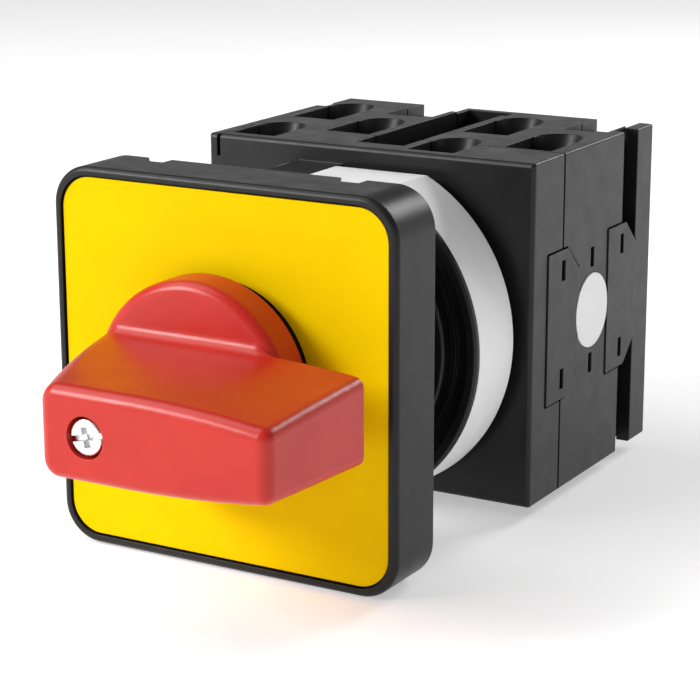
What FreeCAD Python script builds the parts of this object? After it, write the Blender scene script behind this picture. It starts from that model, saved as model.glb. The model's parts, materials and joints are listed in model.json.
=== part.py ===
"""A panel-mounted rotary isolator switch.

A red pointer handle turns a square shaft through a yellow-faced front plate. A threaded neck goes
through a hole in the panel, and a stack of contact chambers sits behind it. Cams on the shaft move
bridge contacts in three chambers, one on each side of the shaft, so that all poles close together.

Frame: +X right, +Y into the panel, +Z up. The origin is on the shaft axis, in the plane of the
front plate's rear face, where the panel is. Lengths are in millimetres.
"""
import FreeCAD, Part
import math
import os
import re
from FreeCAD import Placement, Rotation, Vector
from Sketcher import Constraint

os.makedirs("parts", exist_ok=True)
doc = FreeCAD.newDocument("rotary_isolator")

# ---------------------------------------------------------------------------------------------
# Driving dimensions: name, value in mm (angles in degrees), meaning
# ---------------------------------------------------------------------------------------------
SIZES = [
    ("gap", 0.1, "clearance between pieces that only meet"),
    ("fit", 0.05, "radial clearance of a running fit"),
    # front plate
    ("plate_half", 24.0, "half of the front plate's side"),
    ("plate_corner", 5.0, "front plate's corner radius"),
    ("plate_depth", 9.0, "front plate, front lip to panel"),
    ("plate_edge", 0.7, "rounding of the front lip's outer edge"),
    ("legend_half", 22.7, "half of the yellow plate's side"),
    ("legend_corner", 4.0, "yellow plate's corner radius"),
    ("legend_front", 8.7, "yellow face, height over the panel"),
    ("legend_back", 8.2, "yellow plate's back, height over the panel"),
    ("legend_margin", 0.25, "gap round the yellow plate"),
    ("web_back", 7.0, "back of the front plate's web, height over the panel"),
    ("tray_half", 22.2, "half of the carrier plate's side"),
    ("tray_wall", 1.6, "walls of the carrier plate"),
    ("collar_radius", 12.15, "black collar round the handle"),
    ("collar_bore", 10.9, "inside of the collar"),
    ("collar_front", 10.8, "collar's face, height over the panel"),
    # handle
    ("disc_radius", 13.35, "handle's round base"),
    ("disc_back", 11.0, "base's back, height over the panel"),
    ("disc_front", 16.0, "base's face, height over the panel"),
    ("lever_front", 36.0, "lever's face, height over the panel"),
    ("lever_middle", 25.5, "station half way up the lever"),
    ("lever_tip", 23.6, "lever's far end from the axis"),
    ("hub_radius", 6.0, "handle's hub in the carrier"),
    ("hub_back", 1.2, "hub's end, height over the panel"),
    # shaft and neck
    ("shaft_side", 6.0, "square shaft, across flats"),
    ("shaft_front", 20.0, "shaft's front end, height over the panel"),
    ("shaft_back", 57.5, "shaft's rear end, depth behind the panel"),
    ("neck_radius", 11.15, "neck that goes through the panel hole"),
    ("neck_end", 13.4, "neck's end, depth behind the panel"),
    ("nut_front", 3.5, "ring nut's face, the thickest panel"),
    ("nut_back", 8.5, "ring nut's back"),
    ("nut_radius", 15.5, "ring nut's outside"),
    # latch
    ("latch_front", 13.7, "latch cover's hub face"),
    ("rim_front", 14.0, "latch cover's rim face"),
    ("ring_front", 15.0, "white ring's front edge"),
    ("ring_back", 23.75, "white ring's rear edge"),
    ("ring_small", 22.4, "white ring's radius at its front edge"),
    ("ring_large", 22.67, "white ring's radius at its rear edge"),
    ("ring_inner", 21.5, "white ring's inside"),
    ("ring_flat", 20.27, "flat on the white ring, height over the axis"),
    ("ring_wall", 0.9, "white ring's wall at the flat"),
    ("latch_floor", 24.2, "rear wall of the latch chamber"),
    ("latch_inner", 18.6, "radius of the latch chamber"),
    ("wheel_radius", 13.2, "detent wheel"),
    ("wheel_front", 18.0, "detent wheel's front"),
    ("wheel_back", 23.0, "detent wheel's back"),
    ("nose_radius", 1.5, "nose of a detent spring"),
    ("nose_place", 14.0, "nose centre, distance from the axis"),
    # contact block
    ("block_half", 24.25, "half of the block's width"),
    ("block_top", 22.6, "half of the block's height"),
    ("cover_top", 22.3, "half of the rear cover's height"),
    ("block_front", 25.77, "front of the block"),
    ("seam", 34.78, "joint between the two housings"),
    ("seam_gap", 0.22, "half of the gap at the joint"),
    ("groove_front", 53.7, "front of the side groove"),
    ("groove_floor", 22.5, "side groove's floor, distance from the axis"),
    ("body_back", 58.2, "rear of the large housing"),
    ("cover_front", 58.5, "front of the rear cover's flange"),
    ("cover_back", 63.5, "rear of the switch"),
    ("chamber_half", 21.5, "half of a contact chamber's width"),
    ("chamber_top", 11.7, "half of a contact chamber's height"),
    ("first_layer", 30.6, "middle of the front chamber"),
    ("layer_pitch", 9.55, "distance between chambers"),
    ("inner_well", 8.3, "inner terminals, distance from the middle"),
    ("outer_well", 18.6, "outer terminals, distance from the middle"),
    ("well_half", 3.45, "half of a terminal well's width"),
    ("guide_radius", 3.3, "screwdriver guide"),
    ("guide_tilt", 28.0, "screwdriver guide's lean to the rear"),
    ("channel_half", 3.55, "half of the middle channel's width"),
    ("channel_floor", 14.0, "middle channel's floor, height over the axis"),
    ("notch_floor", 20.6, "lowered rear notches, height over the axis"),
    ("clip_proud", 0.15, "how far a side clip stands out"),
    ("disc_mark", 5.05, "white side disc's radius"),
    # contacts
    ("travel", 1.8, "travel of the bridge contacts"),
    ("cam_high", 9.8, "cam's largest radius, contacts open"),
    ("cam_half", 2.2, "half of a cam's thickness"),
    ("cam_hub", 4.9, "cam hub's radius"),
    ("nose", 0.8, "carrier nose's radius"),
    ("carrier_end", 16.6, "carrier's outer end, distance from the axis"),
    ("strip", 1.0, "thickness of the contact strips"),
    ("fixed_face", 11.95, "face of the fixed contacts, distance from the axis"),
    ("contact_height", 6.8, "contact tips, height over the axis"),
    ("tip_radius", 1.3, "contact tips"),
    ("tie_x", 13.65, "tie screws, distance from the middle"),
    ("tie_z", 17.5, "tie screws, height over the axis"),
]

sheet = doc.addObject("Spreadsheet::Sheet", "Sizes")
for row, (alias, value, meaning) in enumerate(SIZES, 1):
    sheet.set(f"A{row}", meaning)
    sheet.set(f"B{row}", str(value))
    sheet.setAlias(f"B{row}", alias)
doc.recompute()

ALIAS = re.compile(r"\b(" + "|".join(alias for alias, _, _ in SIZES) + r")\b")
VALUE = {alias: sheet.get(alias) for alias, _, _ in SIZES}

SIDES = {"left": -1, "right": 1}
LAYERS = {"front": 0, "middle": 1, "rear": 2}
CLIP_MIDDLES = (VALUE["seam"], VALUE["cover_front"] - 4.85)
# which terminal row each side of each chamber uses: staggered, as the wells are
WELL_ROW = {
    ("front", "left"): "outer_well",
    ("front", "right"): "inner_well",
    ("middle", "left"): "inner_well",
    ("middle", "right"): "outer_well",
    ("rear", "left"): "outer_well",
    ("rear", "right"): "inner_well",
}


# ---------------------------------------------------------------------------------------------
# Helpers: sizes given as text are expressions in the sheet's names
# ---------------------------------------------------------------------------------------------
def bind(thing, property_name, expression):
    """Tie a property to an expression in the sheet's names."""
    thing.setExpression(property_name, ALIAS.sub(r"Sizes.\1", str(expression)))


def place(thing, x=0, y=0, z=0):
    """Bind a piece's position."""
    for axis, value in zip("xyz", (x, y, z)):
        bind(thing, f"Placement.Base.{axis}", value)
    return thing


def block(name, x, y, z):
    """A box between two limits on each axis."""
    box = doc.addObject("Part::Box", name)
    for side, (low, high) in zip(("Length", "Width", "Height"), (x, y, z)):
        bind(box, side, f"({high}) - ({low})")
    return place(box, x[0], y[0], z[0])


def rod(name, radius, y, x=0, z=0):
    """A cylinder along Y between two depths."""
    cylinder = doc.addObject("Part::Cylinder", name)
    cylinder.Placement = Placement(Vector(), Rotation(Vector(1, 0, 0), -90))
    bind(cylinder, "Radius", radius)
    bind(cylinder, "Height", f"({y[1]}) - ({y[0]})")
    return place(cylinder, x, y[0], z)


def pin(name, radius, x, y=0, z=0):
    """A cylinder along X between two places."""
    cylinder = doc.addObject("Part::Cylinder", name)
    cylinder.Placement = Placement(Vector(), Rotation(Vector(0, 1, 0), 90))
    bind(cylinder, "Radius", radius)
    bind(cylinder, "Height", f"({x[1]}) - ({x[0]})")
    return place(cylinder, x[0], y, z)


def join(name, pieces):
    """One solid of several that overlap."""
    fused = doc.addObject("Part::MultiFuse", name)
    fused.Shapes = pieces
    return fused


def cut(name, base, tools):
    """A piece with the tools taken away."""
    result = doc.addObject("Part::Cut", name)
    result.Base = base
    result.Tool = tools[0] if len(tools) == 1 else join(name + "_tools", tools)
    return result


def group(name, pieces):
    """Separate identical solids kept in one sub-part."""
    compound = doc.addObject("Part::Compound", name)
    compound.Links = pieces
    return compound


def shaped(name, shape, at=None):
    """A piece whose shape is made here, from the sheet's values."""
    feature = doc.addObject("Part::Feature", name)
    feature.Shape = shape
    feature.Placement = at or Placement()
    return feature


def turned(name, profile):
    """A ring round the Y axis from a closed outline of (radius, depth) corners."""
    points = [Vector(radius, depth, 0) for radius, depth in profile]
    face = Part.Face(Part.makePolygon(points + points[:1]))
    return shaped(name, face.revolve(Vector(), Vector(0, 1, 0), 360))


def prism(name, corners, z):
    """A straight prism along Z from (x, y) corners."""
    points = [Vector(x, y, z[0]) for x, y in corners]
    face = Part.Face(Part.makePolygon(points + points[:1]))
    return shaped(name, face.extrude(Vector(0, 0, z[1] - z[0])))


# ---------------------------------------------------------------------------------------------
# PartDesign helpers
# ---------------------------------------------------------------------------------------------
def new_body(label):
    body = doc.addObject("PartDesign::Body", label)
    body.Label = label
    return body


def sketch(body, name, height, role="XZ_Plane"):
    """A sketch in a plane parallel to the panel, so far in front of it. Its normal points forwards."""
    new = body.newObject("Sketcher::SketchObject", name)
    support = next(f for f in body.Origin.OriginFeatures if f.Role == role)
    new.AttachmentSupport = [(support, "")]
    new.MapMode = "FlatFace"
    bind(new, "AttachmentOffset.Base.z", height)
    return new


def square(drawing, half):
    """A centred square whose half side is an expression."""
    h = 10.0
    corners = [Vector(-h, -h, 0), Vector(h, -h, 0), Vector(h, h, 0), Vector(-h, h, 0)]
    for start, end in zip(corners, corners[1:] + corners[:1]):
        drawing.addGeometry(Part.LineSegment(start, end), False)
    for line in range(4):
        drawing.addConstraint(Constraint("Coincident", line, 2, (line + 1) % 4, 1))
        drawing.addConstraint(Constraint("Horizontal" if line % 2 == 0 else "Vertical", line))
    drawing.addConstraint(Constraint("Symmetric", 0, 1, 1, 2, -1, 1))
    width = drawing.addConstraint(Constraint("DistanceX", 0, 1, 0, 2, 2 * h))
    height = drawing.addConstraint(Constraint("DistanceY", 1, 1, 1, 2, 2 * h))
    for number in (width, height):
        bind(drawing, f"Constraints[{number}]", f"2 * ({half})")


def circle(drawing, radius, inner=None):
    """A centred circle, or two for a ring, whose radii are expressions."""
    for start, wanted in ((10.0, radius), (5.0, inner)):
        if wanted is None:
            continue
        number = drawing.addGeometry(Part.Circle(Vector(), Vector(0, 0, 1), start), False)
        drawing.addConstraint(Constraint("Coincident", number, 3, -1, 1))
        limit = drawing.addConstraint(Constraint("Radius", number, start))
        bind(drawing, f"Constraints[{limit}]", wanted)


def pad(body, name, profile, length):
    """Grow the body forwards from a sketch."""
    feature = body.newObject("PartDesign::Pad", name)
    feature.Profile = profile
    bind(feature, "Length", length)
    doc.recompute()
    return feature


def pocket(body, name, profile, length, forwards=True):
    """Cut the body from a sketch, and make sure that something was cut."""
    before = body.Shape.Volume
    feature = body.newObject("PartDesign::Pocket", name)
    feature.Profile = profile
    feature.Reversed = forwards
    bind(feature, "Length", length)
    doc.recompute()
    if body.Shape.Volume >= before:
        raise RuntimeError(f"{name} cut nothing")
    return feature


def edges_of(feature, wanted):
    """Names of the edges of a feature that a test picks."""
    return [f"Edge{n}" for n, edge in enumerate(feature.Shape.Edges, 1) if wanted(edge)]


def round_edges(body, name, base, wanted, radius):
    feature = body.newObject("PartDesign::Fillet", name)
    feature.Base = (base, edges_of(base, wanted))
    bind(feature, "Radius", radius)
    doc.recompute()
    return feature


def softened(name, body, rounds):
    """The body with each (radius, test) rounding done on the edges that pass the test."""
    doc.recompute()
    shape = body.Shape
    for radius, test in rounds:
        shape = shape.makeFillet(radius, [edge for edge in shape.Edges if test(edge)])
    return shaped(name, shape)


def runs_along_x(edge):
    box = edge.BoundBox
    return box.XLength > 1 and box.YLength < 1e-6 and box.ZLength < 1e-6


def runs_along_y(edge):
    """Is this a straight edge along the depth?"""
    ends = [v.Point for v in edge.Vertexes]
    return len(ends) == 2 and abs(abs(ends[0].y - ends[1].y) - edge.Length) < 1e-6


def at_depth(y, least_radius=0.0):
    """A test for edges that lie at one depth, further than this from the axis."""
    def test(edge):
        box = edge.BoundBox
        reach = max(abs(box.XMin), abs(box.XMax), abs(box.ZMin), abs(box.ZMax))
        return abs(box.YMin - y) < 1e-4 and abs(box.YMax - y) < 1e-4 and reach > least_radius
    return test


# ---------------------------------------------------------------------------------------------
# Front plate
# ---------------------------------------------------------------------------------------------
def make_front_bezel():
    """The black frame: a lip round the yellow plate, a web behind it, and a skirt to the panel."""
    body = new_body("front_bezel_body")
    outline = sketch(body, "bezel_outline", 0)
    square(outline, "plate_half")
    solid = pad(body, "bezel_pad", outline, "plate_depth")
    corners = round_edges(body, "bezel_corners", solid, runs_along_y, "plate_corner")
    lip = at_depth(-VALUE["plate_depth"])
    round_edges(body, "bezel_edge", corners, lip, "plate_edge")
    bowl = block("bezel_bowl", ("-tray_half - gap", "tray_half + gap"), ("-web_back", 1),
                 ("-tray_half - gap", "tray_half + gap"))
    seat = body_plate("bezel_seat", "legend_half + legend_margin", "legend_corner + legend_margin",
                      "legend_back", "plate_depth + 1 - legend_back")
    hole = rod("bezel_hole", "collar_radius + 0.2", ("-plate_depth - 1", 0))
    windows = []
    for number, (slant, low, high) in enumerate(((-16.3, -14.4, -12.5), (11.2, 12.6, 15.0))):
        corners = [(slant, 0.5), (low, -2.0), (high, -2.0), (high, 0.5)]
        windows.append(prism(f"bezel_window_{number}", corners, (-30, 30)))
    return cut("front_bezel", body, [bowl, seat, hole] + windows)


def body_plate(name, half, corner, height, thickness):
    """A square plate with round corners, parallel to the panel."""
    body = new_body(name)
    outline = sketch(body, name + "_outline", height)
    square(outline, half)
    solid = pad(body, name + "_pad", outline, thickness)
    round_edges(body, name + "_corners", solid, runs_along_y, corner)
    return body


def make_legend_plate():
    plate = body_plate("legend_blank", "legend_half", "legend_corner", "legend_back",
                       "legend_front - legend_back")
    hole = rod("legend_hole", "collar_radius + 0.2", ("-legend_front - 1", "-legend_back + 1"))
    return cut("legend_plate", plate, [hole])


def make_knob_collar():
    body = new_body("knob_collar")
    ring = sketch(body, "collar_ring", "web_back - gap")
    circle(ring, "collar_radius", "collar_bore")
    pad(body, "collar_pad", ring, "collar_front - web_back + gap")
    return body


def make_base_plate():
    """The carrier behind the bezel: a hollow tray with a bearing boss and the threaded neck."""
    tray = body_plate("tray_blank", "tray_half", "plate_corner - 1.8", 0, "web_back - gap")
    hollow = block("tray_hollow", ("-tray_half + tray_wall", "tray_half - tray_wall"),
                   ("-web_back - 1", "-tray_wall"), ("-tray_half + tray_wall", "tray_half - tray_wall"))
    boss = rod("tray_boss", "collar_radius", ("-web_back - 2", 0))
    shell = cut("tray_shell", tray, [cut("tray_space", hollow, [boss])])
    neck = threaded_neck()
    solid = join("tray_and_neck", [shell, neck])
    bearing = rod("hub_bearing", "hub_radius + fit", ("-web_back - 1", "-hub_back + 0.2"))
    passage = rod("shaft_passage", "shaft_side", ("-hub_back - 1", "neck_end + 1"))
    neck_bore = rod("neck_bore", "neck_radius - 2.4", (2, "neck_end + 1"))
    seal_groove = cut("seal_groove", rod("seal_groove_outer", 15.2, (-1.2, 1)),
                      [rod("seal_groove_inner", 12.6, (-2, 2))])
    ring_groove = cut("ring_groove", rod("ring_groove_outer", "hub_radius + 2.15", (-5.2, -3.0)),
                      [rod("ring_groove_inner", "hub_radius", (-6, -2))])
    return cut("base_plate", solid, [bearing, passage, neck_bore, seal_groove, ring_groove])


def threaded_neck():
    """The neck, with its thread drawn as rings 1.5 mm apart."""
    pitch, depth = 1.5, 0.5
    radius, end = VALUE["neck_radius"], VALUE["neck_end"]
    first = 2.4
    rings = int((end - 0.5 - first) // pitch)
    profile = [(0, -0.5), (radius, -0.5), (radius, first)]
    for number in range(rings):
        start = first + number * pitch
        profile += [(radius - depth, start + 0.4 * pitch), (radius - depth, start + 0.6 * pitch)]
        profile += [(radius, start + pitch)]
    profile += [(radius, end - 0.4), (radius - 0.4, end), (0, end)]
    return turned("neck", profile)


def make_panel_seal():
    outer = rod("seal_outer", 15.15, (-1.2, 0))
    return cut("panel_seal", outer, [rod("seal_inner", 12.65, (-2, 1))])


def make_shaft_seal():
    """The O-ring round the handle's hub."""
    ring = doc.addObject("Part::Torus", "shaft_seal")
    ring.Placement = Placement(Vector(), Rotation(Vector(1, 0, 0), 90))
    ring.Radius2 = 1.0
    bind(ring, "Radius1", "hub_radius + fit + 1.05")
    return place(ring, 0, -4.1, 0)


def make_ring_nut():
    """The round nut that clamps the panel, with slots for a spanner."""
    outer = rod("nut_outer", "nut_radius", ("nut_front", "nut_back"))
    tools = [rod("nut_thread", "neck_radius + fit", ("nut_front - 1", "nut_back + 1"))]
    for number in range(6):
        slot = block(f"nut_slot_{number}", (-1.3, 1.3), ("nut_front - 1", "nut_back + 1"),
                     ("nut_radius - 1.4", "nut_radius + 1"))
        at = Placement(Vector(), Rotation(Vector(0, 1, 0), 60 * number))
        copy = group(f"nut_slot_turned_{number}", [slot])
        copy.Placement = at
        tools.append(copy)
    return cut("ring_nut", outer, tools)


# ---------------------------------------------------------------------------------------------
# Handle and shaft
# ---------------------------------------------------------------------------------------------
def lever_section(name, height, left, shoulder, tip_half, corner):
    """The lever's outline at one height: round at the hub's side, drawn in towards the tip.

    The upper and lower sides are arcs that start level at the axis's right and fall to the tip.
    """
    y = -height
    tip = VALUE["lever_tip"]
    straight_end = 4.0
    tip_corner = 1.2
    middle_x = (straight_end + tip) / 2
    sag = (shoulder - tip_half) / 4
    edges = []
    points = {}
    for sign in (1, -1):
        points[sign] = {
            "left": Vector(left, y, sign * (shoulder - corner)),
            "left_mid": Vector(left + corner * (1 - math.sqrt(0.5)), y,
                               sign * (shoulder - corner * (1 - math.sqrt(0.5)))),
            "top": Vector(left + corner, y, sign * shoulder),
            "bend": Vector(straight_end, y, sign * shoulder),
            "slope": Vector(middle_x, y, sign * (shoulder - sag)),
            "tip_top": Vector(tip - tip_corner, y, sign * (tip_half + 0.12)),
            "tip_mid": Vector(tip - tip_corner * (1 - math.sqrt(0.5)), y,
                              sign * (tip_half - tip_corner * (1 - math.sqrt(0.5)) + 0.06)),
            "tip_end": Vector(tip, y, sign * (tip_half - tip_corner)),
        }
    up, down = points[1], points[-1]
    for side, order in ((up, 1), (down, -1)):
        run = [
            Part.Arc(side["left"], side["left_mid"], side["top"]).toShape(),
            Part.LineSegment(side["top"], side["bend"]).toShape(),
            Part.Arc(side["bend"], side["slope"], side["tip_top"]).toShape(),
            Part.Arc(side["tip_top"], side["tip_mid"], side["tip_end"]).toShape(),
        ]
        edges += run if order == 1 else []
        if order == 1:
            edges.append(Part.LineSegment(up["tip_end"], down["tip_end"]).toShape())
        else:
            edges += run[::-1]
    edges.append(Part.LineSegment(down["left"], up["left"]).toShape())
    return shaped(name, Part.Wire(Part.__sortEdges__(edges)))


def make_handle():
    """The red pointer: a round base, an overhanging lever and a hub in the carrier."""
    sections = [
        lever_section("lever_face", VALUE["lever_front"], -5.85, 5.4, 4.1, 2.2),
        lever_section("lever_waist", VALUE["lever_middle"], -9.9, 5.85, 4.65, 2.4),
        lever_section("lever_root", VALUE["disc_front"] - 0.1, -12.6, 6.2, 5.1, 2.6),
    ]
    wires = [section.Shape for section in sections]
    lever = Part.makeLoft(wires, True, False)
    face = -VALUE["lever_front"]
    front_edges = [e for e in lever.Edges if abs(e.BoundBox.YMin - face) < 1e-3
                   and abs(e.BoundBox.YMax - face) < 1e-3]
    lever = lever.makeFillet(1.5, front_edges)
    disc_face = -VALUE["disc_front"]
    base = Part.makeCylinder(VALUE["disc_radius"], VALUE["disc_front"] - VALUE["disc_back"],
                             Vector(0, disc_face, 0), Vector(0, 1, 0))
    base = base.makeFillet(1.4, [e for e in base.Edges if abs(e.BoundBox.YMax - disc_face) < 1e-3])
    blank = lever.fuse(base).removeSplitter()
    roots = [e for e in blank.Edges if abs(e.BoundBox.YMin - disc_face) < 2e-3
             and abs(e.BoundBox.YMax - disc_face) < 2e-3
             and 6.0 < abs(e.BoundBox.Center.z) < 6.3]
    blank = blank.makeFillet(1.4, roots)
    body = join("handle_body", [shaped("handle_blank", blank),
                                rod("handle_hub", "hub_radius", ("-disc_back - 1", "-hub_back"))])
    core = cut("handle_core", rod("handle_core_outer", 10.9, ("-disc_back - 3.5", "-disc_back + 1")),
               [rod("handle_core_inner", 7.5, ("-disc_back - 4", "-disc_back + 2"))])
    socket = block("handle_socket", ("-shaft_side / 2 - fit", "shaft_side / 2 + fit"),
                   ("-shaft_front - 0.3", 0), ("-shaft_side / 2 - fit", "shaft_side / 2 + fit"))
    screw_hole = rod("handle_screw_hole", 1.65, ("-lever_front", "-shaft_front"))
    head_hole = rod("handle_head_hole", 2.45, ("-lever_front - 1", "-lever_front + 2.1"))
    return cut("handle", body, [core, socket, screw_hole, head_hole])


def make_handle_screw():
    """The screw on the axis, with a slot and a cross in its head."""
    seat = VALUE["lever_front"] - 2.1
    tall = 1.9
    head = Part.makeCylinder(2.12, tall, Vector(0, -seat - tall, 0), Vector(0, 1, 0))
    rim = [e for e in head.Edges if abs(e.BoundBox.YMax + seat + tall) < 1e-4]
    head = head.makeFillet(0.3, rim)
    shank = Part.makeCylinder(1.5, seat - 12.0, Vector(0, -seat, 0), Vector(0, 1, 0))
    screw = head.fuse(shank)
    for length, width, depth, angle in ((6.0, 0.7, 0.8, 12.0), (2.3, 0.75, 1.0, 102.0)):
        recess = Part.makeBox(length, depth + 1, width,
                              Vector(-length / 2, -seat - tall - 1, -width / 2))
        recess.rotate(Vector(), Vector(0, -1, 0), angle)
        screw = screw.cut(recess)
    return shaped("handle_screw", screw)


def make_shaft():
    half = "shaft_side / 2"
    bar = block("shaft_bar", (f"-{half}", half), ("-shaft_front", "shaft_back"), (f"-{half}", half))
    tapped = rod("shaft_tapped", 1.55, ("-shaft_front - 1", "-11"))
    return cut("shaft", bar, [tapped])


def square_hole(name, y):
    """The hole that slides on the shaft."""
    half = "shaft_side / 2 + fit"
    return block(name, (f"-({half})", half), y, (f"-({half})", half))


# ---------------------------------------------------------------------------------------------
# Latch: cover, white ring, chamber, detent wheel and springs
# ---------------------------------------------------------------------------------------------
def make_latch_cover():
    """The stepped black ring in front of the white one."""
    hub_face, rim_face = VALUE["latch_front"], VALUE["rim_front"]
    ring_face, small = VALUE["ring_front"], VALUE["ring_small"]
    inner, outer = VALUE["ring_inner"] - 0.1, small
    solid = turned("latch_cover_solid", [
        (VALUE["neck_radius"] + 0.2, hub_face), (17.7, hub_face), (18.0, hub_face + 0.3),
        (18.0, 15.9), (18.4, 15.9), (18.4, 15.5), (18.8, 15.5), (18.8, 16.1), (21.1, 16.1),
        (21.1, rim_face), (outer - 0.3, rim_face), (outer, rim_face + 0.3),
        (outer, ring_face - 0.05), (inner - 0.1, ring_face - 0.05), (inner - 0.1, 17.2),
        (VALUE["neck_radius"] + 0.2, 17.2),
    ])
    rim_flat = flat_cutter("cover_rim_flat", "ring_flat", -12, 12, ("rim_front - 1", "ring_front"))
    spigot_flat = flat_cutter("cover_spigot_flat", "ring_flat - ring_wall - gap", -12, 12,
                              ("ring_front - 0.06", 18))
    return cut("latch_cover", solid, [rim_flat, spigot_flat])


def flat_cutter(name, height, low, high, y):
    """What lies above a flat, between two places across."""
    return block(name, (low, high), y, (height, "ring_large + 2"))


def make_spacer_ring():
    """The white sleeve: slightly conical, with a flat on top and a gap for the black key."""
    cone = doc.addObject("Part::Cone", "ring_cone")
    cone.Placement = Placement(Vector(), Rotation(Vector(1, 0, 0), -90))
    bind(cone, "Radius1", "ring_small")
    bind(cone, "Radius2", "ring_large")
    bind(cone, "Height", "ring_back - ring_front")
    place(cone, 0, "ring_front", 0)
    outer = cut("ring_outer", cone, [flat_cutter("ring_flat_outer", "ring_flat", -10.6, 10.6,
                                                 ("ring_front - 1", "ring_back + 1"))])
    bore = rod("ring_bore", "ring_inner", ("ring_front - 1", "ring_back + 1"))
    inner = cut("ring_space", bore, [flat_cutter("ring_flat_inner", "ring_flat - ring_wall", -12, 12,
                                                 ("ring_front - 2", "ring_back + 2"))])
    key_gap = block("ring_key_gap", (-10.2, -3.2), ("ring_front - 1", "ring_back + 1"), (15, 26))
    return cut("spacer_ring", outer, [inner, key_gap])


def make_latch_housing():
    """The cup inside the white ring, with the stops that end the handle's turn."""
    body = rod("latch_cup", "ring_inner - gap", ("latch_floor - 6.9", "block_front - gap"))
    top = flat_cutter("latch_top", "ring_flat - ring_wall - gap", -12, 12, (10, 30))
    space = rod("latch_space", "latch_inner", (10, "latch_floor"))
    hole = rod("latch_hole", "cam_hub + fit", (10, 30))
    cup = cut("latch_shell", body, [top, space, hole])
    stops = []
    for number, middle in enumerate((-53.6, 53.6)):
        stop = sector(13.5, VALUE["latch_inner"] + 0.3, middle - 2.6, middle + 2.6,
                      VALUE["wheel_front"] + 0.6, VALUE["latch_floor"] + 0.2)
        stops.append(shaped(f"latch_stop_{number}", stop))
    return join("latch_housing", [cup] + stops)


def sector(inner, outer, start, end, front, back):
    """A piece of a ring round Y, between two angles measured from +X towards +Z."""
    def corner(radius, angle):
        return Vector(radius * math.cos(math.radians(angle)), front,
                      radius * math.sin(math.radians(angle)))

    middle = (start + end) / 2
    edges = [
        Part.Arc(corner(outer, start), corner(outer, middle), corner(outer, end)).toShape(),
        Part.LineSegment(corner(outer, end), corner(inner, end)).toShape(),
        Part.Arc(corner(inner, end), corner(inner, middle), corner(inner, start)).toShape(),
        Part.LineSegment(corner(inner, start), corner(outer, start)).toShape(),
    ]
    return Part.Face(Part.Wire(edges)).extrude(Vector(0, back - front, 0))


def make_detent_wheel():
    """The wheel whose notches hold the handle at each quarter turn, with the lug that stops it."""
    disc = rod("wheel_disc", "wheel_radius", ("wheel_front", "wheel_back"))
    hub = rod("wheel_hub", 7.0, ("wheel_front - 0.7", "latch_floor - gap"))
    lug = shaped("wheel_lug", sector(12.0, 16.5, -50.3, -39.7, VALUE["wheel_front"],
                                     VALUE["wheel_back"]))
    notches = []
    for number, (x, z) in enumerate(((1, 0), (0, 1), (-1, 0), (0, -1))):
        notches.append(rod(f"wheel_notch_{number}", "nose_radius + 0.15", ("wheel_front - 1",
                       "wheel_back + 1"), f"{x} * nose_place", f"{z} * nose_place"))
    wheel = join("wheel_solid", [disc, hub, lug])
    return cut("detent_wheel", wheel, notches + [square_hole("wheel_square", (10, 30))])


def make_detent_spring(name, side):
    """A leaf spring with a round nose that rests in the wheel's notch."""
    y = ("wheel_front + 0.6", "wheel_back - 0.6")
    nose = rod(name + "_nose", "nose_radius", y, 0, f"{side} * nose_place")
    low, high = ("15.2", "15.8") if side > 0 else ("-15.8", "-15.2")
    return join(name, [nose, block(name + "_leaf", (-9.6, 9.6), y, (low, high))])


# ---------------------------------------------------------------------------------------------
# Contact block
# ---------------------------------------------------------------------------------------------
def layer_middle(layer):
    return f"(first_layer + {LAYERS[layer]} * layer_pitch)"


def well_tools(layer, side, end):
    """What a terminal well takes out of the housings: a shaft for the wire, an inclined screw guide."""
    name = f"well_{layer}_{side}_{end}"
    middle, across = layer_middle(layer), f"{SIDES[side]} * {WELL_ROW[layer, side]}"
    start = {"front": "block_front + 2.1", "middle": "seam + 0.5", "rear": "block_front + 17.6"}[layer]
    up = 1 if end == "upper" else -1
    z = ("chamber_top - 0.5", "block_top + 1") if up > 0 else ("-block_top - 1", "-chamber_top + 0.5")
    shaft = block(name, (f"{across} - well_half", f"{across} + well_half"),
                  (start, f"{middle} + 4.1"), z)
    guide = doc.addObject("Part::Cylinder", name + "_guide")
    tilt = VALUE["guide_tilt"] if up > 0 else 180 - VALUE["guide_tilt"]
    guide.Placement = Placement(Vector(), Rotation(Vector(1, 0, 0), -tilt))
    bind(guide, "Radius", "guide_radius")
    guide.Height = 14
    rise = "tan(guide_tilt)"
    place(guide, across, f"{middle} + 4.6 - {rise} * (block_top - 15.5)", f"{up} * 15.5")
    return [shaft, guide]


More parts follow.
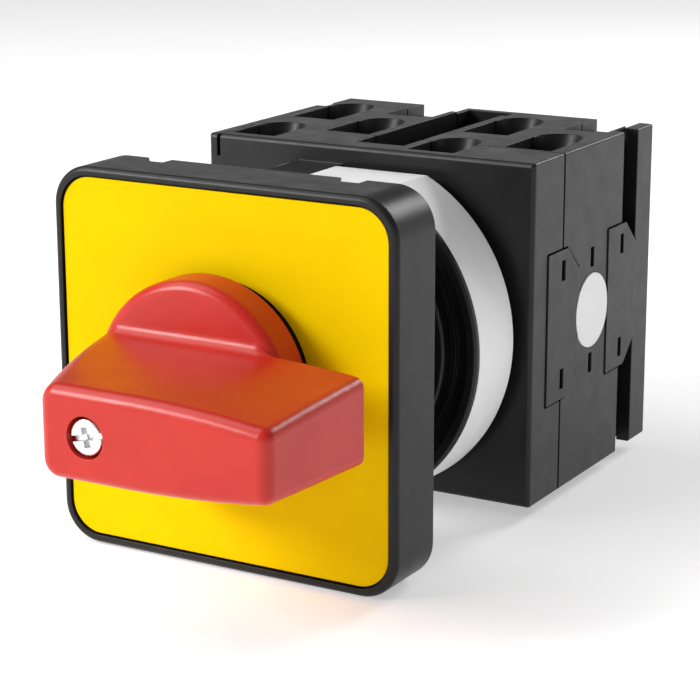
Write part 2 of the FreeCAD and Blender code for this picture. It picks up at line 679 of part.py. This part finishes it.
def make_tools():
    """Everything taken out of the block that crosses from one housing to the next."""
    tools = []
    for layer, side in WELL_ROW:
        for end in ("upper", "lower"):
            tools += well_tools(layer, side, end)
    for up, end in ((1, "upper"), (-1, "lower")):
        z = ("channel_floor", "block_top + 1") if up > 0 else ("-block_top - 1", "-channel_floor")
        tools.append(block(f"channel_{end}", ("-channel_half", "channel_half"),
                           ("block_front + 3.8", "cover_back - 1.1"), z))
        z = ("notch_floor", "block_top + 1") if up > 0 else ("-block_top - 1", "-notch_floor")
        tools.append(block(f"notch_left_{end}", (-11.6, -4.4), (51.6, "cover_back + 1"), z))
        tools.append(block(f"notch_right_{end}", (15.9, 22.3), (51.6, "cover_back + 1"), z))
        z = (19.6, "block_top + 1") if up > 0 else ("-block_top - 1", -19.6)
        tools.append(block(f"wall_gap_{end}", (-22.95, -22.45), ("block_front - 1", "seam"), z))
        z = ("block_top - 0.35", "block_top + 1") if up > 0 else ("-block_top - 1", "-block_top + 0.35")
        for side, x in (("left", (-13.85, -13.55)), ("right", (13.35, 13.65))):
            tools.append(block(f"top_mark_{side}_{end}", x, (30.7, "seam"), z))
    for number, (x, z) in enumerate(((1, 1), (1, -1), (-1, 1), (-1, -1))):
        tools.append(rod(f"tie_hole_{number}", 1.1, (26.3, 70), f"{x} * tie_x", f"{z} * tie_z"))
    for side, sign in SIDES.items():
        for number, middle in enumerate(CLIP_MIDDLES):
            tools.append(clip_blank(f"clip_seat_{side}_{number}", sign, middle, 0.25, 1.15))
    return join("block_tools", tools)


def clip_blank(name, side, middle, grow, depth):
    """The outline of a side clip: a plate with two corners cut off on its rear edge."""
    front, shoulder, back = middle - 4.5 - grow, middle + 1.35, middle + 4.95 + grow
    tall, short = 10 + grow, 6.6 + grow
    low = VALUE["block_half"] - depth
    high = VALUE["block_half"] + (VALUE["clip_proud"] if grow == 0 else 1)
    corners = [(front, tall), (shoulder, tall), (back, short), (back, -short), (shoulder, -tall),
               (front, -tall)]
    points = [Vector(side * low, a, b) for a, b in corners]
    face = Part.Face(Part.makePolygon(points + points[:1]))
    return shaped(name, face.extrude(Vector(side * (high - low), 0, 0)))


def slot_tools(name, side, depth_y):
    """The two small upright windows in a side, one above and one below the middle."""
    low, high = ("block_half - 2.4", "block_half + 1")
    if side < 0:
        low, high = ("-block_half - 1", "-block_half + 2.4")
    return [block(f"{name}_{end}", (low, high), (f"{depth_y} - 0.55", f"{depth_y} + 0.55"), z)
            for end, z in (("upper", (5.9, 8.65)), ("lower", (-8.65, -5.9)))]


def chamber(name, y):
    return block(name, ("-chamber_half", "chamber_half"), y, ("-chamber_top", "chamber_top"))


def guide_ribs(layer, y):
    """Ribs that guide the outer end of each contact carrier."""
    ribs = []
    for side, sign in SIDES.items():
        for end, up in (("upper", 1), ("lower", -1)):
            x = (15.9, "chamber_half + 0.2") if sign > 0 else ("-chamber_half - 0.2", -15.9)
            z = (3.2, 4.0) if up > 0 else (-4.0, -3.2)
            ribs.append(block(f"rib_{layer}_{side}_{end}", x, y, z))
    return ribs


def make_front_housing(tools):
    """The first chamber, with the key that turns it in line with the latch."""
    half = "block_half"
    body = block("front_housing_blank", (f"-{half}", half), ("block_front", "seam - seam_gap"),
                 ("-block_top", "block_top"))
    body = softened("front_housing_body", body, [
        (0.3, runs_along_y),
        (0.6, lambda edge: runs_along_x(edge) and at_depth(VALUE["block_front"])(edge)),
    ])
    key = block("boss_key", (-10.0, -3.4), (17.4, "block_front + 1"),
                ("ring_flat - ring_wall", "ring_flat - gap"))
    space = cut("front_space", chamber("front_chamber", (27.1, 40)),
                guide_ribs("front", (27.0, f"{layer_middle('front')} + 2.6")))
    bore = rod("front_bore", "cam_hub + fit", (20, 30))
    shell = cut("front_housing_shell", join("front_housing_solid", [body, key]), [space, bore])
    windows = slot_windows("front_slots", ("seam",))
    return cut("front_housing", shell, [tools, seam_groove()] + windows)


def seam_groove():
    """The dark groove round the block where the two housings meet."""
    y = ("seam - 0.25", "seam + 1")
    outside = block("seam_outside", ("-block_half - 1", "block_half + 1"), y,
                    ("-block_top - 1", "block_top + 1"))
    inside = block("seam_inside", ("-block_half + 0.6", "block_half - 0.6"), y,
                   ("-block_top + 0.6", "block_top - 0.6"))
    return cut("seam_groove", outside, [inside])


def slot_windows(name, places):
    tools = []
    for side, sign in SIDES.items():
        for number, place_y in enumerate(places):
            tools += slot_tools(f"{name}_{side}_{number}", sign, place_y)
    return tools


def make_contact_housing(tools):
    """The large housing, with a chamber open at each end and a partition between them."""
    half = "block_half"
    body = block("contact_housing_blank", (f"-{half}", half), ("seam + seam_gap", "groove_front"),
                 ("-block_top", "block_top"))
    body = softened("contact_housing_body", body, [(0.3, runs_along_y)])
    rear = block("contact_housing_rear", ("-groove_floor", "groove_floor"),
                 ("groove_front - 1", "body_back"), ("-block_top + 0.9", "block_top"))
    middle, last = layer_middle("middle"), layer_middle("rear")
    front_space = cut("middle_space", chamber("middle_chamber", (30, f"{middle} + 3.8")),
                      guide_ribs("middle", (f"{middle} - 2.6", f"{middle} + 4")))
    rear_space = cut("rear_space", chamber("rear_chamber", (f"{last} - 4.1", 70)),
                     guide_ribs("rear", (f"{last} - 4.2", f"{last} + 2.6")))
    bore = rod("contact_bore", "cam_hub + fit", (30, 60))
    windows = slot_windows("contact_slots", ("seam", "(seam + layer_pitch - 0.2)", "(cover_front - 4.85)"))
    seat = pin("disc_seat", "disc_mark + 0.1", ("block_half - 1", "block_half + 1"), "seam + 9.42", 0)
    return cut("contact_housing", join("contact_housing_solid", [body, rear]),
               [front_space, rear_space, bore, tools, seat] + windows)


def make_divider_plate():
    """The insulating plate between the front chamber and the middle one."""
    plate = block("divider_blank", ("-chamber_half + gap", "chamber_half - gap"),
                  ("seam + 0.02", "seam + 1.2"), ("-chamber_top + gap", "chamber_top - gap"))
    return cut("divider_plate", plate, [rod("divider_bore", "cam_hub + fit", (30, 40))])


def make_rear_cover(tools):
    """The flange that closes the rear chamber, with a spigot that reaches into it."""
    half = "block_half"
    flange = block("cover_flange", (f"-{half}", half), ("cover_front", "cover_back"),
                   ("-cover_top", "cover_top"))
    flange = softened("cover_flange_body", flange, [(0.3, runs_along_y)])
    spigot = block("cover_spigot", ("-chamber_half + gap", "chamber_half - gap"),
                   (f"{layer_middle('rear')} + 3.9", "cover_front + 1"),
                   ("-chamber_top + gap", "chamber_top - gap"))
    hollow = block("cover_hollow", (-19, 19), ("cover_front - 3", "cover_front + 3"), (-9, 9))
    boss = rod("cover_boss", "cam_hub + 1.5", (50, "cover_back"))
    bearing = rod("cover_bearing", "cam_hub + fit", (50, "shaft_back + 0.5"))
    heads = [rod(f"cover_head_{n}", 2.1, ("cover_back - 2.2", "cover_back + 1"),
                 f"{x} * tie_x", f"{z} * tie_z")
             for n, (x, z) in enumerate(((1, 1), (1, -1), (-1, 1), (-1, -1)))]
    return cut("rear_cover", join("cover_solid", [flange, spigot]),
               [cut("cover_space", hollow, [boss]), bearing, tools] + heads)


def make_side_clips():
    """Four plates that hold the housings together, two on each side."""
    clips = []
    for side, sign in SIDES.items():
        for number, middle in enumerate(CLIP_MIDDLES):
            blank = clip_blank(f"clip_{side}_{number}", sign, middle, 0, 1.0)
            tools = slot_tools(f"clip_slot_{side}_{number}", sign, middle)
            if side == "right":
                tools.append(pin(f"clip_disc_seat_{number}", "disc_mark + 0.05",
                                 ("block_half - 2", "block_half + 1"), "seam + 9.42", 0))
            clips.append(cut(f"clip_{side}_{number}_cut", blank, tools))
    return group("side_clips", clips)


def make_side_disc():
    return pin("side_disc", "disc_mark", ("block_half - 0.95", "block_half + clip_proud - 0.05"),
               "seam + 9.42", 0)


# ---------------------------------------------------------------------------------------------
# Moving contacts
# ---------------------------------------------------------------------------------------------
def make_cam(layer):
    """An oval cam. Its radius falls evenly with angle from each lobe, so that the carriers follow
    the handle in a constant ratio."""
    high, low = VALUE["cam_high"], VALUE["cam_high"] - VALUE["travel"]
    middle = VALUE["first_layer"] + LAYERS[layer] * VALUE["layer_pitch"]

    def corner(angle):
        swing = abs((angle + 90) % 180 - 90) / 90
        radius = high - (high - low) * swing
        return Vector(radius * math.cos(math.radians(angle)), middle - VALUE["cam_half"],
                      radius * math.sin(math.radians(angle)))

    arcs = [Part.Arc(corner(start), corner(start + 45), corner(start + 90)).toShape()
            for start in (0, 90, 180, 270)]
    disc = Part.Face(Part.Wire(arcs)).extrude(Vector(0, 2 * VALUE["cam_half"], 0))
    reach = {"front": (24.4, "seam - 0.1"), "middle": ("seam + 0.1", f"{layer_middle('middle')} + 4.3"),
             "rear": (f"{layer_middle('middle')} + 4.5", "shaft_back - 0.3")}[layer]
    hub = rod(f"cam_{layer}_hub", "cam_hub", reach)
    return cut(f"cam_{layer}", join(f"cam_{layer}_solid", [shaped(f"cam_{layer}_disc", disc), hub]),
               [square_hole(f"cam_{layer}_square", (20, 60))])


def across(side, low, high):
    """Limits across, on one side of the axis."""
    return (low, high) if SIDES[side] > 0 else (f"-({high})", f"-({low})")


def make_carrier(layer, side):
    """The moulded slider that follows the cam and holds the bridge in its window."""
    name = f"carrier_{layer}_{side}"
    middle = layer_middle(layer)
    y = (f"{middle} - 2.55", f"{middle} + 2.55")
    tip = "cam_high + gap + nose"
    nose = rod(name + "_nose", "nose", (f"{middle} - 2", f"{middle} + 2"), f"{SIDES[side]} * ({tip})", 0)
    body = block(name + "_body", across(side, tip, "carrier_end"), y, (-3.0, 3.0))
    window = block(name + "_window", across(side, 13.9, 15.5), (f"{middle} - 2.0", f"{middle} + 2.0"),
                   (-4, 4))
    seat = pin(name + "_seat", 2.1, across(side, "carrier_end - 0.8", "carrier_end + 1"), middle, 0)
    return cut(name, join(name + "_solid", [nose, body]), [window, seat])


def make_bridge(layer, side):
    """The copper bar that joins an upper and a lower contact, with a tip at each end."""
    name = f"bridge_{layer}_{side}"
    middle = layer_middle(layer)
    bar = block(name + "_bar", across(side, 14.2, "14.2 + strip"), (f"{middle} - 1.9", f"{middle} + 1.9"),
                (-8.3, 8.3))
    tips = [pin(f"{name}_tip_{n}", "tip_radius", across(side, "fixed_face + travel + fit", 14.3),
                middle, f"{up} * contact_height") for n, up in enumerate((1, -1))]
    return join(name, [bar] + tips)


def make_contact_spring(layer, side):
    """The coil spring that pushes a carrier against its cam."""
    sign = SIDES[side]
    start, end = VALUE["carrier_end"] - 0.6, VALUE["chamber_half"] - 0.25
    wire, mean, turns, steps = 0.22, 1.6, 4.5, 12
    pitch = (end - start - 2 * wire) / turns
    points = []
    for step in range(int(turns * steps) + 1):
        angle = 2 * math.pi * step / steps
        points.append(Vector(mean * math.cos(angle), mean * math.sin(angle), pitch * step / steps))
    line = Part.BSplineCurve()
    line.interpolate(points)
    section = Part.Wire(Part.makeCircle(wire, points[0], line.tangent(line.FirstParameter)[0]))
    coil = Part.Wire(line.toShape()).makePipeShell([section], True, True)
    middle = VALUE["first_layer"] + LAYERS[layer] * VALUE["layer_pitch"]
    at = Placement(Vector(sign * (start + wire), middle, 0), Rotation(Vector(0, 1, 0), sign * 90))
    return shaped(f"contact_spring_{layer}_{side}", coil, at)


def make_fixed_contacts(layer, side):
    """The upper and lower strips from the contact tips to the terminals."""
    name = f"fixed_contacts_{layer}_{side}"
    middle, row = layer_middle(layer), WELL_ROW[layer, side]
    y = (f"{middle} - 1.9", f"{middle} + 1.9")
    foot = "fixed_face - 0.55"
    inner = (f"{foot} - strip", foot) if row == "outer_well" else (f"{row} - 2.6", foot)
    outer = f"{row} + 2.6" if row == "outer_well" else foot
    solids = []
    for up, end in ((1, "upper"), (-1, "lower")):
        def span(low, high):
            return (low, high) if up > 0 else (f"-({high})", f"-({low})")
        leg = block(f"{name}_{end}_leg", across(side, f"{foot} - strip", foot), y,
                    span(5.4, "chamber_top - 0.05"))
        shelf = block(f"{name}_{end}_shelf", across(side, inner[0], outer), y,
                      span("chamber_top - 0.05 - strip", "chamber_top - 0.05"))
        tip = pin(f"{name}_{end}_tip", "tip_radius", across(side, f"{foot} - 0.2", "fixed_face"),
                  middle, f"{up} * contact_height")
        solids.append(join(f"{name}_{end}", [leg, shelf, tip]))
    return group(name, solids)


CLAMP_HEIGHT, WIRE_HOLE, TERMINAL_HEAD = 5.8, 1.25, 1.8


def terminal_axis(layer, side, up):
    """A terminal screw's seat and direction: it leans to the rear, towards its guide."""
    middle = VALUE["first_layer"] + LAYERS[layer] * VALUE["layer_pitch"]
    x = SIDES[side] * VALUE[WELL_ROW[layer, side]]
    lean = math.radians(VALUE["guide_tilt"])
    top, seat = VALUE["block_top"], VALUE["chamber_top"] + CLAMP_HEIGHT
    y = middle + 4.6 - math.tan(lean) * (top - seat)
    return Vector(x, y, up * seat), Vector(0, math.sin(lean), up * math.cos(lean))


def make_terminals():
    """Brass clamps with a hole for the wire, and their inclined screws."""
    clamps, screws = [], []
    for layer, side in WELL_ROW:
        for up in (1, -1):
            seat, lean = terminal_axis(layer, side, up)
            name = f"terminal_{layer}_{side}_{'upper' if up > 0 else 'lower'}"
            middle = VALUE["first_layer"] + LAYERS[layer] * VALUE["layer_pitch"]
            low, high = VALUE["chamber_top"], VALUE["chamber_top"] + CLAMP_HEIGHT
            corner = Vector(seat.x - 2.7, middle - 2.6, low if up > 0 else -high)
            body = Part.makeBox(5.4, 5.9, high - low, corner)
            chop = Part.makeCylinder(12, 12, seat + lean * 0.2, lean)
            wire = Part.makeCylinder(WIRE_HOLE, 20, Vector(seat.x, middle - 1.05, up * (low + 0.6)),
                                     Vector(0, 0, up))
            tapped = Part.makeCylinder(1.05, 12, seat - lean * 1.5, lean)
            clamps.append(shaped(name + "_clamp", body.cut(chop).cut(wire).cut(tapped)))
            head = Part.makeCylinder(TERMINAL_HEAD, 1.3, seat + lean * 0.25, lean)
            shank = Part.makeCylinder(1.0, 1.7, seat - lean * 1.4, lean)
            slot = Part.makeBox(5, 0.6, 1.6, Vector(-2.5, -0.3, 0))
            slot.Placement = Placement(seat + lean * 0.95, Rotation(Vector(0, 0, 1), lean))
            screws.append(shaped(name + "_screw", head.fuse(shank).cut(slot)))
    return group("terminal_clamps", clamps), group("terminal_screws", screws)


def make_tie_screws():
    """Four long screws that hold the stack together from the rear."""
    screws = []
    for number, (x, z) in enumerate(((1, 1), (1, -1), (-1, 1), (-1, -1))):
        at = (f"{x} * tie_x", f"{z} * tie_z")
        shank = rod(f"tie_{number}_shank", 1.0, (27, "cover_back - 2"), *at)
        head = rod(f"tie_{number}_head", 1.95, ("cover_back - 2.15", "cover_back - 0.7"), *at)
        slot = block(f"tie_{number}_slot", (f"{at[0]} - 3", f"{at[0]} + 3"),
                     ("cover_back - 1.4", "cover_back"), (f"{at[1]} - 0.35", f"{at[1]} + 0.35"))
        screws.append(cut(f"tie_{number}", join(f"tie_{number}_solid", [shank, head]), [slot]))
    return group("tie_screws", screws)


# ---------------------------------------------------------------------------------------------
# Assembly and export
# ---------------------------------------------------------------------------------------------
block_tools = make_tools()
terminal_clamps, terminal_screws = make_terminals()
subparts = [
    make_front_bezel(), make_legend_plate(), make_knob_collar(), make_base_plate(),
    make_panel_seal(), make_shaft_seal(), make_ring_nut(), make_handle(), make_handle_screw(),
    make_shaft(), make_latch_cover(), make_spacer_ring(), make_latch_housing(),
    make_detent_wheel(), make_detent_spring("detent_spring_upper", 1),
    make_detent_spring("detent_spring_lower", -1), make_front_housing(block_tools),
    make_contact_housing(block_tools), make_divider_plate(), make_rear_cover(block_tools),
    make_side_clips(), make_side_disc(), make_tie_screws(), terminal_clamps, terminal_screws,
]
for layer_name in LAYERS:
    subparts.append(make_cam(layer_name))
    for side_name in SIDES:
        subparts.append(make_carrier(layer_name, side_name))
        subparts.append(make_bridge(layer_name, side_name))
        subparts.append(make_contact_spring(layer_name, side_name))
        subparts.append(make_fixed_contacts(layer_name, side_name))

doc.recompute()
for item in doc.Objects:
    if "Invalid" in item.State or "Error" in item.State:
        raise RuntimeError(f"{item.Name} failed: {item.State}")
for item in subparts:
    if item.Shape.isNull() or not item.Shape.isValid():
        raise RuntimeError(f"{item.Name} has no valid shape")
    item.Label = item.Name
    item.Shape.exportStep(f"parts/{item.Label}.step")
    print(f"{item.Label:32s} {len(item.Shape.Solids):3d} solids {item.Shape.Volume:10.1f} mm3")
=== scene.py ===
"""The looks of a rotary isolator switch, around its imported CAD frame. Lengths are in metres."""

import json
import math

import bpy
from mathutils import Matrix, Vector


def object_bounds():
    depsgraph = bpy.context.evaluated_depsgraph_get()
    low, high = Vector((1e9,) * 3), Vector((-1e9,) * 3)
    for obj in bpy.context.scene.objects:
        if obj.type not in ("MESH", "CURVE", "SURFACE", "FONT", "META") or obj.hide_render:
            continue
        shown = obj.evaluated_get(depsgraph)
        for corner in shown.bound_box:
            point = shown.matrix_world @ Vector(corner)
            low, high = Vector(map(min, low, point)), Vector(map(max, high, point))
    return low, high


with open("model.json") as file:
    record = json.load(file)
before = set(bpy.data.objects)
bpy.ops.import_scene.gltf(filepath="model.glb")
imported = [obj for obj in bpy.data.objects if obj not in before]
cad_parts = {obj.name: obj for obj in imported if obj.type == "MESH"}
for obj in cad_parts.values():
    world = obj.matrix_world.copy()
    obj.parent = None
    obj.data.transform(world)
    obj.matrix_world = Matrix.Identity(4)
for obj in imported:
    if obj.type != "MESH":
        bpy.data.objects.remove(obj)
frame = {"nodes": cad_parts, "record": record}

MM = 0.001
NODES = frame["nodes"]
CAD_LOW, CAD_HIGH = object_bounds()
CENTRE = (CAD_LOW + CAD_HIGH) / 2
FLOOR_HALF = 12 * (CAD_HIGH - CAD_LOW).length
FLOOR_GAP = 0.2 * MM
FLOOR_GLOW = 0.42

# where the camera stands, its lens and its angles in degrees
CAMERA_PLACE = Vector((142.002, -222.958, 72.54)) * MM
CAMERA_LENS, CAMERA_SENSOR = 115.03, 36
CAMERA_TURN, CAMERA_TILT, CAMERA_ROLL = 30.13, 15.05, -0.15

# the sky's strength at the horizon and overhead, and the height of the band between them
SKY_HORIZON, SKY_OVERHEAD = 0.8, 0.14
SKY_BAND = (0.16, 0.34)

# soft boxes: name, direction from the object, distance and side in metres, watts
SOFT_BOXES = (
    ("key", (-0.6, -0.7, 0.5), 0.7, 0.24, 3.8),
    ("top", (-0.5, -0.2, 0.85), 0.6, 0.4, 1.4),
    ("rim", (0.26, 0.84, 0.49), 0.6, 0.2, 1.2),
)

# how broad the changes in a plastic's shade, its polish and its sink marks are, and the marks' depth
SHADE_SIZE, POLISH_SIZE, SINK_SIZE = 7 * MM, 3 * MM, 9 * MM
SINK_HEIGHT = 0.02 * MM
# how broad a metal's tarnish and its lines are
TARNISH_SIZE, LINE_SIZE = 2 * MM, 0.25 * MM
# radius of the rounding on sharp edges
PLASTIC_EDGE, METAL_EDGE = 0.2 * MM, 0.06 * MM


# ---------------------------------------------------------------- materials

class Surface:
    """A material with one Principled shader, and short calls for the nodes that feed it."""

    def __init__(self, name, **values):
        self.material = bpy.data.materials.new(name)
        self.material.use_nodes = True
        self.tree = self.material.node_tree
        self.shader = self.tree.nodes["Principled BSDF"]
        for socket, value in values.items():
            self.shader.inputs[socket.replace("_", " ")].default_value = value
        self.place = self.node("ShaderNodeTexCoord").outputs["Object"]

    def node(self, kind, **settings):
        made = self.tree.nodes.new(kind)
        for key, value in settings.items():
            setattr(made, key, value)
        return made

    def link(self, source, target):
        self.tree.links.new(source, target)

    def noise(self, size, detail=2.0, stretch=None):
        """Noise whose features are about size across, drawn out along an axis where stretch is given."""
        place = self.place
        if stretch:
            mapping = self.node("ShaderNodeMapping")
            mapping.inputs["Scale"].default_value = stretch
            self.link(place, mapping.inputs["Vector"])
            place = mapping.outputs["Vector"]
        made = self.node("ShaderNodeTexNoise")
        made.inputs["Scale"].default_value = 1 / size
        made.inputs["Detail"].default_value = detail
        self.link(place, made.inputs["Vector"])
        return made.outputs["Fac"]

    def ranged(self, value, low, high, start=0.3, end=0.7):
        """A value from start to end becomes one from low to high."""
        made = self.node("ShaderNodeMapRange")
        for socket, number in (("From Min", start), ("From Max", end), ("To Min", low), ("To Max", high)):
            made.inputs[socket].default_value = number
        self.link(value, made.inputs["Value"])
        return made.outputs["Result"]

    def mixed(self, factor, first, second):
        """A colour between two, each a colour or another node's output."""
        made = self.node("ShaderNodeMix", data_type="RGBA")
        self.link(factor, made.inputs["Factor"])
        for socket, colour in ((made.inputs[6], first), (made.inputs[7], second)):
            if isinstance(colour, bpy.types.NodeSocket):
                self.link(colour, socket)
            else:
                socket.default_value = (*colour, 1)
        return made.outputs[2]

    def colour(self, factor, first, second):
        self.link(self.mixed(factor, first, second), self.shader.inputs["Base Color"])

    def roughness(self, value, low, high):
        self.link(self.ranged(value, low, high), self.shader.inputs["Roughness"])

    def relief(self, edge, *layers):
        """Edges rounded to a radius, and over them bump from (value, height) pairs."""
        rounded = self.node("ShaderNodeBevel", samples=6)
        rounded.inputs["Radius"].default_value = edge
        normal = rounded.outputs["Normal"]
        for value, height in layers:
            bump = self.node("ShaderNodeBump")
            bump.inputs["Distance"].default_value = height
            self.link(value, bump.inputs["Height"])
            self.link(normal, bump.inputs["Normal"])
            normal = bump.outputs["Normal"]
        self.link(normal, self.shader.inputs["Normal"])


def moulded(name, dark, light, rough, grain, height, edge=PLASTIC_EDGE, **values):
    """A moulded plastic: fine grain over faint sink marks, with slow changes in shade and polish."""
    made = Surface(name, **values)
    made.colour(made.ranged(made.noise(SHADE_SIZE), 0, 1), dark, light)
    made.roughness(made.noise(POLISH_SIZE, detail=4), *rough)
    made.relief(edge, (made.noise(grain, detail=3), height), (made.noise(SINK_SIZE), SINK_HEIGHT))
    return made.material


def metal(name, dull, bright, rough, lines, height, **values):
    """A metal with fine lines from rolling, drawing or plating."""
    made = Surface(name, Metallic=1.0, **values)
    made.colour(made.ranged(made.noise(TARNISH_SIZE, detail=4), 0, 1), dull, bright)
    streaks = made.noise(LINE_SIZE, detail=2, stretch=lines)
    made.roughness(streaks, *rough)
    made.relief(METAL_EDGE, (streaks, height))
    return made.material


MATERIALS = {
    "black_plastic": moulded("moulded_black", (0.0065, 0.0065, 0.007), (0.0105, 0.0105, 0.011),
                             (0.34, 0.42), 0.12 * MM, 0.004 * MM, Specular_IOR_Level=0.34),
    "bezel_plastic": moulded("bezel_black", (0.008, 0.008, 0.0085), (0.012, 0.012, 0.0125),
                             (0.34, 0.42), 0.1 * MM, 0.003 * MM, Specular_IOR_Level=0.28),
    "yellow_plate": moulded("plate_yellow", (0.82, 0.565, 0.0), (0.85, 0.59, 0.0),
                            (0.5, 0.62), 0.15 * MM, 0.003 * MM, edge=0.05 * MM, Specular_IOR_Level=0.03),
    "red_plastic": moulded("handle_red", (0.53, 0.02, 0.012), (0.58, 0.025, 0.015),
                           (0.3, 0.35), 0.14 * MM, 0.004 * MM, Specular_IOR_Level=0.4, Subsurface_Weight=0.05,
                           Subsurface_Radius=(2 * MM, 0.4 * MM, 0.2 * MM)),
    "white_plastic": moulded("moulded_white", (0.92, 0.92, 0.92), (0.96, 0.96, 0.96),
                             (0.4, 0.5), 0.12 * MM, 0.004 * MM),
    "grey_plastic": moulded("glass_filled_grey", (0.26, 0.27, 0.28), (0.4, 0.41, 0.42),
                            (0.42, 0.6), 0.2 * MM, 0.008 * MM),
    "rubber": moulded("seal_rubber", (0.012, 0.012, 0.012), (0.022, 0.022, 0.022),
                      (0.6, 0.8), 0.3 * MM, 0.01 * MM),
    "zinc_steel": metal("zinc_plated", (0.66, 0.66, 0.67), (0.86, 0.86, 0.86),
                        (0.22, 0.38), (1, 0.2, 1), 0.003 * MM),
    "spring_steel": metal("spring_steel", (0.42, 0.43, 0.45), (0.6, 0.61, 0.63),
                          (0.2, 0.36), (0.2, 1, 1), 0.003 * MM),
    "brass": metal("clamp_brass", (0.66, 0.46, 0.18), (0.86, 0.66, 0.32),
                   (0.25, 0.42), (1, 1, 0.2), 0.004 * MM),
    "copper": metal("contact_copper", (0.66, 0.34, 0.2), (0.86, 0.5, 0.34),
                    (0.24, 0.4), (0.2, 1, 1), 0.004 * MM),
}


def paint_nodes():
    """Each CAD node gets the material of its slot in the record."""
    for part in frame["record"]["subparts"]:
        slots = NODES[part["node"]].material_slots
        for number in range(len(slots)):
            slots[number].material = MATERIALS[part["material_slot"]]


# ---------------------------------------------------------------- studio

def camera():
    """The camera, from where it stands, its turn about the upright and its tilt."""
    turn, tilt, roll = (math.radians(angle) for angle in (CAMERA_TURN, CAMERA_TILT, CAMERA_ROLL))
    back = Vector((math.sin(turn) * math.cos(tilt), -math.cos(turn) * math.cos(tilt), math.sin(tilt)))
    right = Vector((0, 0, 1)).cross(back).normalized()
    up = back.cross(right)
    across = math.cos(roll) * right + math.sin(roll) * up
    upright = math.cos(roll) * up - math.sin(roll) * right
    data = bpy.data.cameras.new("camera")
    data.lens = CAMERA_LENS
    data.sensor_width = CAMERA_SENSOR
    data.clip_start = 0.02
    data.clip_end = 20
    made = bpy.data.objects.new("camera", data)
    turned = Matrix((across, upright, back)).transposed().to_4x4()
    made.matrix_world = Matrix.Translation(CAMERA_PLACE) @ turned
    bpy.context.scene.collection.objects.link(made)
    bpy.context.scene.camera = made


def soft_light(name, direction, distance, size, power):
    """A square soft box that looks at the object's centre from a direction."""
    data = bpy.data.lights.new(name, "AREA")
    data.shape = "SQUARE"
    data.size = size
    data.energy = power
    made = bpy.data.objects.new(name, data)
    away = Vector(direction).normalized()
    made.location = CENTRE + away * distance
    made.rotation_mode = "QUATERNION"
    made.rotation_quaternion = (-away).to_track_quat("-Z", "Y")
    bpy.context.scene.collection.objects.link(made)


def sky():
    """A pale studio, brightest round the horizon."""
    world = bpy.data.worlds.new("studio")
    world.use_nodes = True
    nodes, links = world.node_tree.nodes, world.node_tree.links
    apart = nodes.new("ShaderNodeSeparateXYZ")
    links.new(nodes.new("ShaderNodeTexCoord").outputs["Generated"], apart.inputs["Vector"])
    fall = nodes.new("ShaderNodeMapRange")
    for socket, number in (("From Min", SKY_BAND[0]), ("From Max", SKY_BAND[1]),
                           ("To Min", SKY_HORIZON), ("To Max", SKY_OVERHEAD)):
        fall.inputs[socket].default_value = number
    links.new(apart.outputs["Z"], fall.inputs["Value"])
    links.new(fall.outputs["Result"], nodes["Background"].inputs["Strength"])
    nodes["Background"].inputs["Color"].default_value = (1, 1, 1, 1)
    bpy.context.scene.world = world


def floor():
    half = FLOOR_HALF
    corners = [(-half, -half, 0), (half, -half, 0), (half, half, 0), (-half, half, 0)]
    mesh = bpy.data.meshes.new("floor")
    mesh.from_pydata(corners, [], [(0, 1, 2, 3)])
    made = bpy.data.objects.new("floor", mesh)
    made.location = (CENTRE.x, CENTRE.y, CAD_LOW.z - FLOOR_GAP)
    paper = Surface("floor_paper", Emission_Color=(1, 1, 1, 1), Emission_Strength=FLOOR_GLOW)
    paper.colour(paper.noise(40 * MM, detail=3), (0.86, 0.86, 0.86), (0.9, 0.9, 0.9))
    paper.roughness(paper.noise(20 * MM), 0.85, 0.95)
    mesh.materials.append(paper.material)
    bpy.context.scene.collection.objects.link(made)


bpy.context.scene.view_settings.view_transform = "Standard"
paint_nodes()
camera()
sky()
for box in SOFT_BOXES:
    soft_light(*box)
floor()
